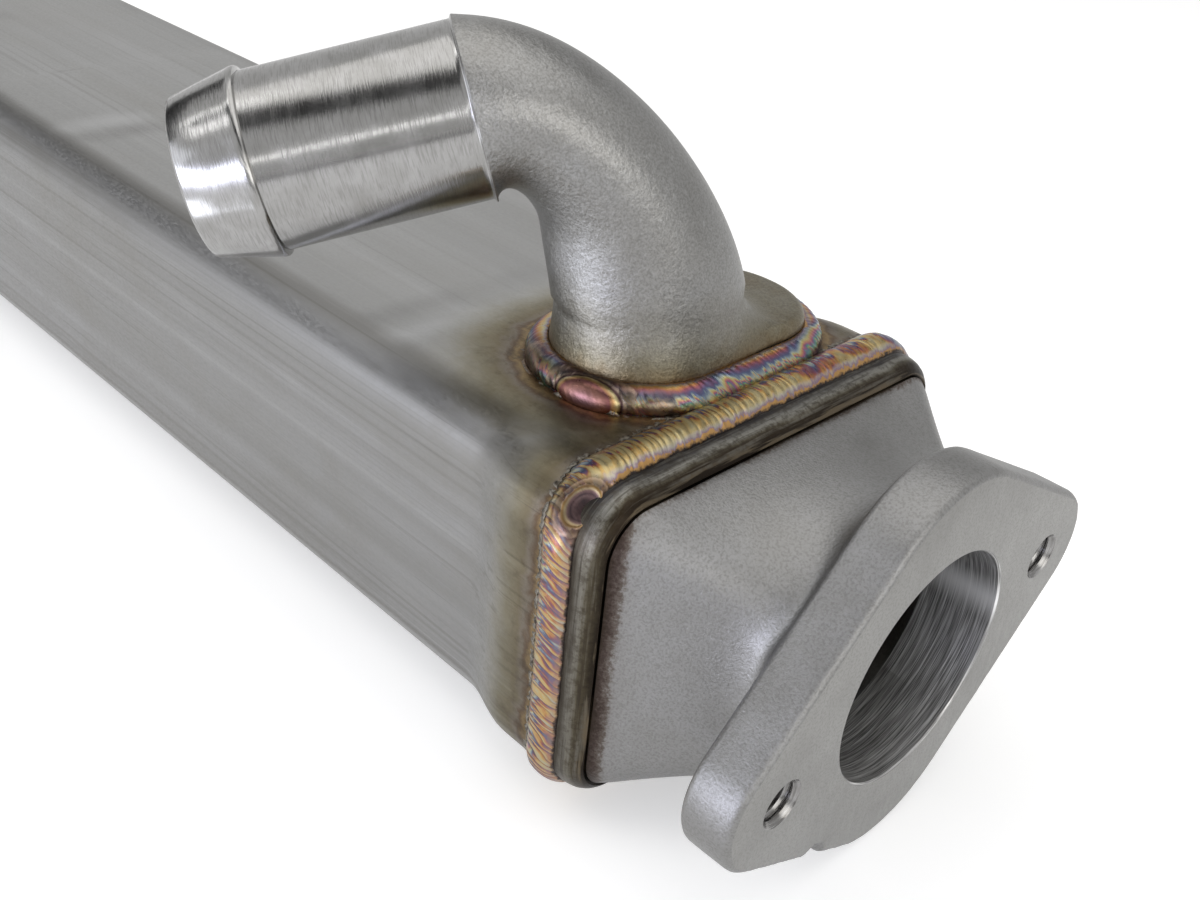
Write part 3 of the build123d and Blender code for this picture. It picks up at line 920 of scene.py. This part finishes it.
# Coolant connections: stainless castings, each a rounded foot that is welded to the shell's
# raised top. The inlet's stem sweeps over the near side in a tight bend. The hose end of each
# is turned on a lathe, down to a single barb, and keeps its fine tool lines.
FOOT_TOP = 0.034
FOOT_SIDE = -0.0021
NIPPLE_R = 0.0127
BARB_R = 0.01345
TIP_R = 0.01135
COOLANT_R = 0.0096
NIPPLE_START = Vector((-0.075498, -0.026480, 0.067101))
NIPPLE_AXIS = Vector((-0.553544, -0.784699, -0.278991)).normalized()
NIPPLE_PROFILE = [
    (0.0001, 0.0131), (0.0003, 0.01275), (0.0004, NIPPLE_R), (0.0010, NIPPLE_R), (0.0150, NIPPLE_R),
    (0.0298, NIPPLE_R), (0.0303, NIPPLE_R), (0.03045, 0.0133), (0.0307, BARB_R), (0.0312, BARB_R),
    (0.0317, 0.0133), (0.0360, 0.01233), (0.0400, 0.01143), (0.0403, TIP_R - 0.0001),
    (0.0405, TIP_R - 0.0005), (0.0405, COOLANT_R + 0.0004), (0.0401, COOLANT_R)]
STEM_BASE = Vector((FOOT_X, FOOT_SIDE, SHELL_TOP))
STEM_TURNS = [2 * math.pi * i / 160 for i in range(160)]
LEVEL_X, LEVEL_Y, STRAIGHT_UP = Vector((1, 0, 0)), Vector((0, 1, 0)), Vector((0, 0, 1))
# The inner poles of the bend's middle line, and the part of it that the foot's stem takes up.
STEM_PULL = 0.0210
NIPPLE_PULL = 0.0152
STEM_SHARE = 0.19
STEM_RISE = 0.0119
CASTING_END_R = 0.0132
SIDEWAYS_R = (0.0142, 0.0137, 0.0121, CASTING_END_R)
IN_PLANE_R = (0.0180, 0.0150, 0.0062, CASTING_END_R)


def farthest(inside, limit):
    """The largest distance up to a limit that is still inside."""
    low, high = 0.0, limit
    for _ in range(40):
        middle = (low + high) / 2
        if inside(middle):
            low = middle
        else:
            high = middle
    return low


def foot_reach(turn, inset):
    """How far the foot's outline is from the stem's axis in this direction, drawn in by inset."""
    ahead_x, ahead_y = math.cos(turn), math.sin(turn)

    def inside(reach):
        x = max(abs(ahead_x * reach) - (FOOT_HALF - FOOT_R), 0.0)
        y = max(abs(ahead_y * reach - (FOOT_MIDDLE - FOOT_SIDE)) - (FOOT_LONG_HALF - FOOT_R), 0.0)
        return math.hypot(x, y) < FOOT_R - inset

    return farthest(inside, 0.06)


def stem_places(z, reach):
    """A ring round the stem's axis at one height, as far out as reach says for each turn."""
    return [(FOOT_X + math.cos(turn) * reach(turn), FOOT_SIDE + math.sin(turn) * reach(turn), z)
            for turn in STEM_TURNS]


def ring_about(middle, across, other, radius_a, radius_b):
    legs = [(radius_a * math.cos(turn), radius_b * math.sin(turn)) for turn in STEM_TURNS]
    return [tuple(middle + across * a + other * b) for a, b in legs]


def foot_rings(mesh, ring, stem_reach, top_round, widest_fillet):
    """Carries a casting's ring up the foot's wall, over its rounded edge and in to the stem."""
    rise = 0.9 * widest_fillet

    def sloped(turn, reach, z):
        """Where the foot is hardly wider than the stem, its wall slopes straight into the stem."""
        room = foot_reach(turn, 0.0) - stem_reach(turn, FOOT_TOP)
        tight = (1 - ease(room, 0.0035, 0.0110)) if widest_fillet > 0.003 else 0.0
        below = min(max((FOOT_TOP + rise - z) / (rise + 0.004), 0.0), 1.0)
        return reach + (stem_reach(turn, z) + room * below - reach) * tight

    def edge_reach(turn):
        return sloped(turn, max(foot_reach(turn, inset), stem_reach(turn, z)), z)

    def fillet_reach(turn):
        room = max(foot_reach(turn, top_round) - stem_reach(turn, FOOT_TOP) - 0.0002, 0.0)
        reach = stem_reach(turn, z) + min(widest_fillet, room) * (1 - math.sin(swing))
        return max(sloped(turn, reach, z), stem_reach(turn, z))

    for step in range(7):
        swing = math.radians(15 * step)
        z = FOOT_TOP - top_round * (1 - math.sin(swing))
        inset = top_round * (1 - math.cos(swing))
        ring = grow_ring(mesh, ring, stem_places(z, edge_reach))
    for step in range(9):
        swing = math.radians(90 * step / 8)
        z = FOOT_TOP + rise * (1 - math.cos(swing)) + 0.00002 * step
        ring = grow_ring(mesh, ring, stem_places(z, fillet_reach))
    return ring


def nipple_rings(mesh, ring, base, axis, across, other, skipped=0.0):
    """Turns the hose end on a ring at base: a shoulder, the plain length, the barb and the tip."""
    for distance, radius in NIPPLE_PROFILE:
        if distance >= skipped:
            places = ring_about(base + axis * distance, across, other, radius, radius)
            ring = grow_ring(mesh, ring, places, 1)
    return ring


def bend_frame(share):
    """The elbow's middle line at a share of its way, with two directions across it."""
    poles = [STEM_BASE, STEM_BASE + STRAIGHT_UP * STEM_PULL,
             NIPPLE_START - NIPPLE_AXIS * NIPPLE_PULL, NIPPLE_START]
    rest = 1 - share
    point, ahead = Vector(), Vector()
    for weight, pole in zip(bezier(share), poles):
        point += pole * weight
    for weight, start, end in zip((rest * rest, 2 * rest * share, share * share), poles, poles[1:]):
        ahead += (end - start) * weight
    ahead.normalize()
    flat = Vector((NIPPLE_AXIS.x, NIPPLE_AXIS.y, 0)).normalized()
    aside = Vector((-flat.y, flat.x, 0))
    turned = ease(share, 0.05, 0.75)
    side = (LEVEL_X * (1 - turned) + aside * (turned if aside.x > 0 else -turned)).normalized()
    side = (side - ahead * side.dot(ahead)).normalized()
    return point, ahead, side, ahead.cross(side)


def bend_radii(share):
    """How wide the elbow is at a share of its way, across the bend and in its plane."""
    return [sum(weight * radius for weight, radius in zip(bezier(share), radii))
            for radii in (SIDEWAYS_R, IN_PLANE_R)]


def inlet_stem(turn, z):
    """How far the inlet's leaning stem reaches in this direction at a low height."""
    climb = (z - SHELL_TOP) / STEM_RISE
    sideways, in_plane = bend_radii(STEM_SHARE * climb)
    lean_x, lean_y = -0.00090 * climb * climb, -0.00130 * climb * climb

    def inside(reach):
        x, y = math.cos(turn) * reach - lean_x, math.sin(turn) * reach - lean_y
        return math.hypot(x / sideways, y / in_plane) < 1

    return farthest(inside, 0.04)


inlet = bmesh.new()
opening = first_ring(inlet, stem_places(SHELL_TOP, lambda turn: foot_reach(turn, 0.0)))
ring = foot_rings(inlet, opening, inlet_stem, 0.0019, 0.0052)
for step in range(41):
    share = 0.195 + 0.79 * step / 40
    point, ahead, side, other = bend_frame(share)
    sideways, in_plane = bend_radii(share)
    lean = ease(share, 0.15, 0.60)
    level = (STRAIGHT_UP * (1 - lean) + ahead * lean).normalized()
    other = level.cross(side).normalized()
    in_plane /= ahead.dot(level)
    ring = grow_ring(inlet, ring, ring_about(point, side, other, sideways, in_plane))
side, other = bend_frame(1.0)[2:]
for back in (0.0002, 0.0):
    middle = NIPPLE_START - NIPPLE_AXIS * back
    ring = grow_ring(inlet, ring, ring_about(middle, side, other, CASTING_END_R, CASTING_END_R))
ring = nipple_rings(inlet, ring, NIPPLE_START, NIPPLE_AXIS, side, other)
for distance in (0.030, 0.010):
    middle = NIPPLE_START + NIPPLE_AXIS * distance
    ring = grow_ring(inlet, ring, ring_about(middle, side, other, COOLANT_R, COOLANT_R), 1)
for step in range(19, -1, -1):
    share = step / 20 + 0.02
    point, _, side, other = bend_frame(share)
    radius = min(COOLANT_R, bend_radii(share)[1] - 0.0018)
    ring = grow_ring(inlet, ring, ring_about(point, side, other, radius, radius))
mouth = ring_about(STEM_BASE, LEVEL_X, LEVEL_Y, COOLANT_R, COOLANT_R)
ring = grow_ring(inlet, ring, mouth)
close_loop(inlet, ring, opening)

outlet = bmesh.new()
opening = first_ring(outlet, stem_places(SHELL_TOP, lambda turn: foot_reach(turn, 0.0)))
ring = foot_rings(outlet, opening, lambda turn, z: NIPPLE_R, 0.0022, 0.0012)
foot_middle = Vector((FOOT_X, FOOT_SIDE, FOOT_TOP))
ring = nipple_rings(outlet, ring, foot_middle, STRAIGHT_UP, LEVEL_X, LEVEL_Y, 0.0016)
ring = grow_ring(outlet, ring, mouth, 1)
close_loop(outlet, ring, opening)
turn_to_rear(outlet)

peel, tree, shader = new_finish("peel_cast_stainless")
dimples = grain(tree, 1150.0, detail=3.0, rough=0.55)
fine_grit = grain(tree, 2900.0, detail=2.0)
lumps = grain(tree, 260.0, detail=2.0)
stains = grain(tree, 70.0, rough=0.6, warp=0.5)
skin = shades(stains, (0.3, 0.260, 0.256, 0.247), (0.55, 0.290, 0.288, 0.282),
              (0.75, 0.320, 0.320, 0.320))
skin = dyes(
    skin,
    (fine_grit, 0.36, 0.58, 0.55, 0.0, (0.16, 0.156, 0.148)),
    (dimples, 0.58, 0.72, 0.0, 0.28, (0.46, 0.46, 0.46)),
)
low = coordinates(tree)[2] + sway(stains, 0.008) + sway(lumps, 0.002)
warm = shades(
    span(low, 0.0290, 0.0450),
    (0.0, 0.20, 0.12, 0.07), (0.10, 0.42, 0.27, 0.16), (0.19, 0.62, 0.49, 0.30),
    (0.34, 0.72, 0.66, 0.50), (0.6, 0.88, 0.86, 0.79), (1.0, 1.0, 1.0, 1.0),
)
dress_metal(
    shader,
    dye(1.0, skin, warm, "MULTIPLY"),
    span(stains, 0.3, 0.7, 0.37, 0.45),
    relief((dimples, 0.00010), (lumps, 0.00012), (fine_grit, 0.00004)),
)


def turned_finish(name, axis):
    """Bright lathe-turned metal with fine tool lines round this axis, worn in patches here and
    there.
    """
    material, tree, shader = new_finish(name)
    upright = axis.rotation_difference(LEVEL_X).to_euler()
    swung = moved(surface_place(tree), Rotation=tuple(upright))
    tool = noise_at(moved(swung, Scale=(5200, 400, 400)), detail=3.0)
    bands = noise_at(moved(swung, Scale=(700, 20, 20)), detail=2.0)
    rubbed_and_highlight = grain(tree, 210.0, rough=0.6, warp=0.3)
    bright = shades(rubbed_and_highlight, (0.35, 0.300, 0.297, 0.288), (0.65, 0.372, 0.368, 0.364))
    bright = dyes(
        bright,
        (tool, 0.50, 0.62, 0.0, 0.50, (0.22, 0.216, 0.208)),
        (bands, 0.55, 0.70, 0.0, 0.25, (0.33, 0.325, 0.32)),
    )
    roughness = span(rubbed_and_highlight, 0.3, 0.7, 0.14, 0.20) + span(tool, 0.4, 0.7, 0.0, 0.07)
    dress_metal(shader, bright, roughness, relief((tool, 0.000014)))
    return material


for mesh, way, axis, node in ((inlet, "inlet", NIPPLE_AXIS, "coolant_inlet_elbow"),
                              (outlet, "outlet", STRAIGHT_UP, "coolant_outlet_spigot")):
    finishes = [peel, turned_finish(f"turned_{way}_nipple", axis)]
    finish_piece(mesh, f"coolant_{way}_casting", finishes, node, 40)


# Foot welds: a fillet bead round each coolant connection's foot, laid by hand like the cap
# welds. It ends in a smooth oval pool of copper-coloured metal on the front near corner,
# with an older, grey crater beside it, and shines in all colours along the front.
FOOT_BEAD_OUT = 0.0034
FOOT_BEAD_UP = 0.0037
FOOT_BEAD_HEIGHT = 0.0005
FOOT_RIPPLE = 0.00120
FOOT_STATIONS = 1000
FOOT_POOLS = [((-0.0526, -0.0236, 0.0292), (0.93, 0.37, -0.05), 0.0066, 0.0041, 0.0013, 0.0),
              ((-0.0424, -0.0165, 0.0298), (0.50, 0.86, 0.0), 0.0036, 0.0026, 0.0003, 1.1),
              ((-0.0660, -0.0200, 0.0290), (0.93, -0.37, 0.0), 0.0040, 0.0030, 0.0002, 1.1)]


def foot_place(spot, across, height):
    """Where the fillet bead's surface is: across runs from the shell up to the foot's wall."""
    x, y, out_x, out_y, _ = spot
    swing = math.radians(45 * (min(max(across, -1.0), 1.0) + 1))
    out = (FOOT_BEAD_OUT + height) * math.cos(swing)
    up = (FOOT_BEAD_UP + height) * math.sin(swing)
    if across < -1.0:
        out, up = FOOT_BEAD_OUT + (-1.0 - across) * 0.003, height
    out -= 0.0002
    return FOOT_X + x + out_x * out, FOOT_MIDDLE + y + out_y * out, SHELL_TOP - 0.0001 + up


foot_bead = bead_finish("tinted_foot_bead", 0.19, 0.19, 0.60, 0.60, 0.56, [
    (0.0, 0.15, 0.075, 0.085), (0.35, 0.20, 0.105, 0.105), (0.62, 0.27, 0.13, 0.10),
    (0.76, 0.22, 0.085, 0.085), (0.84, 0.42, 0.24, 0.10), (0.93, 0.50, 0.42, 0.22),
    (1.0, 0.06, 0.035, 0.035)])
round_foot = walk_round(FOOT_HALF, FOOT_LONG_HALF, FOOT_R, FOOT_STATIONS)
for way, seed in (("inlet", 4.2), ("outlet", 6.6)):
    bead = bead_mesh(round_foot, foot_place, FOOT_BEAD_HEIGHT, FOOT_RIPPLE, 1.5, seed, FOOT_POOLS)
    if way == "outlet":
        turn_to_rear(bead)
    finish_piece(bead, f"{way}_foot_bead", [foot_bead], f"{way}_foot_weld", 180)


# Core: headers, flat gas tubes, folded fins and combs of thin stainless sheet, brazed
# together in a furnace. Only a little of it shows, deep in the gas bores.
CORE_NODES = ("gas_tube", "gas_fin", "tube_comb", "front_header", "rear_header")

brazed, tree, shader = new_finish("furnace_brazed_sheet")
cloudy = grain(tree, 90.0, warp=0.3)
rolled = grain(tree, 1.0, (20, 900, 900), detail=3.0)
dull = shades(cloudy, (0.3, 0.24, 0.22, 0.19), (0.7, 0.38, 0.36, 0.32))
dress_metal(
    shader,
    dye(span(rolled, 0.45, 0.7, 0.0, 0.5), dull, (0.15, 0.14, 0.13)),
    span(cloudy, 0.3, 0.7, 0.42, 0.60),
    relief((rolled, 0.00003)),
)
for name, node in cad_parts.items():
    if name.startswith(CORE_NODES):
        for slot in node.material_slots:
            slot.material = brazed


# Studio: a pale floor under the flanges, an even white surround and large soft lights. Dark
# cards outside the picture give the bright metal its bands, and a bright one its highlight.
FLOOR_Z = -0.0334
FLOOR_HALF = 6.0
ELBOW_MIDDLE = (-0.084, -0.038, 0.063)
WHITE, WARM_WHITE, WARMER_WHITE = (1.0, 1.0, 1.0), (1.0, 0.985, 0.955), (1.0, 0.985, 0.95)
COOL_WHITE, COOLER_WHITE = (0.86, 0.90, 1.0), (0.78, 0.81, 1.0)

paper, tree, shader = new_finish("floor_paper")
shader.inputs["Base Color"].default_value = (0.80, 0.80, 0.80, 1)
shader.inputs["Roughness"].default_value = 0.9
shader.inputs["Specular IOR Level"].default_value = 0.0


def ray_kinds(tree, *names):
    """For each kind of ray, 1 where a ray is of that kind and else 0."""
    outputs = put(tree, "LightPath").outputs
    return [Field(outputs[name]) for name in names]


to_camera, glossy = ray_kinds(tree, "Is Camera Ray", "Is Glossy Ray")
strength = to_camera * 0.42 + glossy * 0.40
glow = put_beside("Emission", {"Strength": strength, "Color": (1, 1, 1, 1)})
mixed = put_beside("AddShader", {0: Field(shader.outputs[0]), 1: glow})
connect(mixed, tree.nodes["Material Output"].inputs["Surface"])
floor_mesh = bmesh.new()
bmesh.ops.create_grid(floor_mesh, x_segments=1, y_segments=1, size=FLOOR_HALF)
bmesh.ops.translate(floor_mesh, verts=floor_mesh.verts, vec=(MIDDLE_X, 0, FLOOR_Z))
floor = make_object("studio_floor", floor_mesh, [paper])


def card(name, surface, place, aim, width, height):
    """A card that only the metal sees."""
    mesh = bmesh.new()
    bmesh.ops.create_grid(mesh, x_segments=1, y_segments=1, size=0.5)
    bmesh.ops.scale(mesh, vec=(width, height, 1), verts=mesh.verts)
    turn = (Vector(aim) - Vector(place)).to_track_quat("Z", "Y").to_matrix().to_4x4()
    bmesh.ops.transform(mesh, matrix=Matrix.Translation(place) @ turn, verts=mesh.verts)
    piece = make_object(name, mesh, [surface])
    piece.visible_camera = False
    piece.visible_shadow = False
    piece.visible_diffuse = False


felt, tree, shader = new_finish("black_felt")
nap = shades(grain(tree, 60.0), (0.3, 0.02, 0.02, 0.02), (0.7, 0.05, 0.05, 0.05))
connect(nap, shader.inputs["Base Color"])
shader.inputs["Roughness"].default_value = 1.0
bounce, tree, shader = new_finish("bounce_card")
fibre = shades(grain(tree, 80.0), (0.3, 0.84, 0.88, 1.0), (0.7, 0.88, 0.91, 1.0))
connect(fibre, shader.inputs["Emission Color"])
shader.inputs["Base Color"].default_value = (0.8, 0.8, 0.8, 1)
shader.inputs["Emission Strength"].default_value = 4.0
card("card_for_nipple", felt, (-0.022, -0.366, 0.612), ELBOW_MIDDLE, 1.0, 0.20)
card("card_for_shell_corner", felt, (-0.90, -0.40, 0.46), (-0.15, -0.03, 0.03), 1.0, 0.30)
card("card_low_right", felt, (0.384, -0.398, 0.005), ELBOW_MIDDLE, 0.8, 0.035)
card("card_behind", felt, (-0.30, 0.67, 0.55), (-0.02, 0.0, 0.02), 0.5, 0.22)
card("bounce_card_on_floor", bounce, (-0.095, -0.215, -0.0330), (-0.095, -0.215, 1.0), 0.10, 0.11)


def soft_light(name, place, aim, width, height, power, colour):
    """A rectangular softbox."""
    data = bpy.data.lights.new(name, "AREA")
    data.shape = "RECTANGLE"
    data.size = width
    data.size_y = height
    data.energy = power
    data.color = colour
    light = bpy.data.objects.new(name, data)
    light.location = place
    light.rotation_euler = (Vector(place) - Vector(aim)).to_track_quat("Z", "Y").to_euler()
    bpy.context.scene.collection.objects.link(light)


soft_light("softbox_above", (-0.10, 0.10, 1.10), (-0.10, 0.0, 0.0), 1.5, 1.2, 5.4, WARM_WHITE)
soft_light("softbox_left", (-0.60, -1.00, 0.25), (-0.08, -0.02, 0.04), 0.8, 0.6, 2.0, COOL_WHITE)
soft_light("softbox_high_left", (-0.40, -0.50, 0.70), (-0.01, 0.0, 0.0), 0.4, 0.4, 1.15, WHITE)
soft_light("softbox_front", (-0.02, -0.80, 0.03), (-0.03, -0.03, 0.0), 0.7, 0.30, 4.2, COOLER_WHITE)
soft_light("strip_right", (0.50, -0.64, 0.33), ELBOW_MIDDLE, 0.75, 0.06, 0.40, WHITE)
soft_light("softbox_right", (0.95, -0.15, 0.45), (-0.02, 0.0, 0.0), 0.6, 0.6, 2.6, WARMER_WHITE)

world = bpy.data.worlds.new("white_surround")
bpy.context.scene.world = world
world.use_nodes = True
tree = world.node_tree
lit = tree.nodes["Background"]
lit.inputs["Color"].default_value = (1, 1, 1, 1)
lit.inputs["Strength"].default_value = 0.45
white = put(tree, "Background", {"Color": (1, 1, 1, 1), "Strength": 1.0})
rays = ("Is Camera Ray", "Is Transmission Ray", "Is Glossy Ray")
to_camera, through, glossy = ray_kinds(tree, *rays)
seen = sums("MAXIMUM", sums("MAXIMUM", to_camera, through), glossy * 0.55)
surrounds = [Field(node.outputs[0]) for node in (lit, white)]
mixed = put_beside("MixShader", {0: seen, 1: surrounds[0], 2: surrounds[1]})
connect(mixed, tree.nodes["World Output"].inputs["Surface"])


# Camera: stands in front of the near corner, high enough to look down on the cooler's top,
# where the photograph was taken from, with the lens that gives the photograph's framing.
lens = bpy.data.cameras.new("product_view")
lens.lens = 38.85
lens.sensor_width = 36.0
lens.clip_start = 0.01
camera = bpy.data.objects.new("product_view", lens)
rightward = Vector((0.6990, 0.7098, 0.0874)).normalized()
backward = Vector((0.5739, -0.6297, 0.5236)).normalized()
upward = backward.cross(rightward).normalized()
turn = Matrix((rightward, upward, backward)).transposed().to_4x4()
camera.matrix_world = Matrix.Translation((0.0627, -0.1445, 0.1238)) @ turn
bpy.context.scene.collection.objects.link(camera)
bpy.context.scene.camera = camera
bpy.context.scene.view_settings.view_transform = "Standard"

bpy.context.view_layer.update()
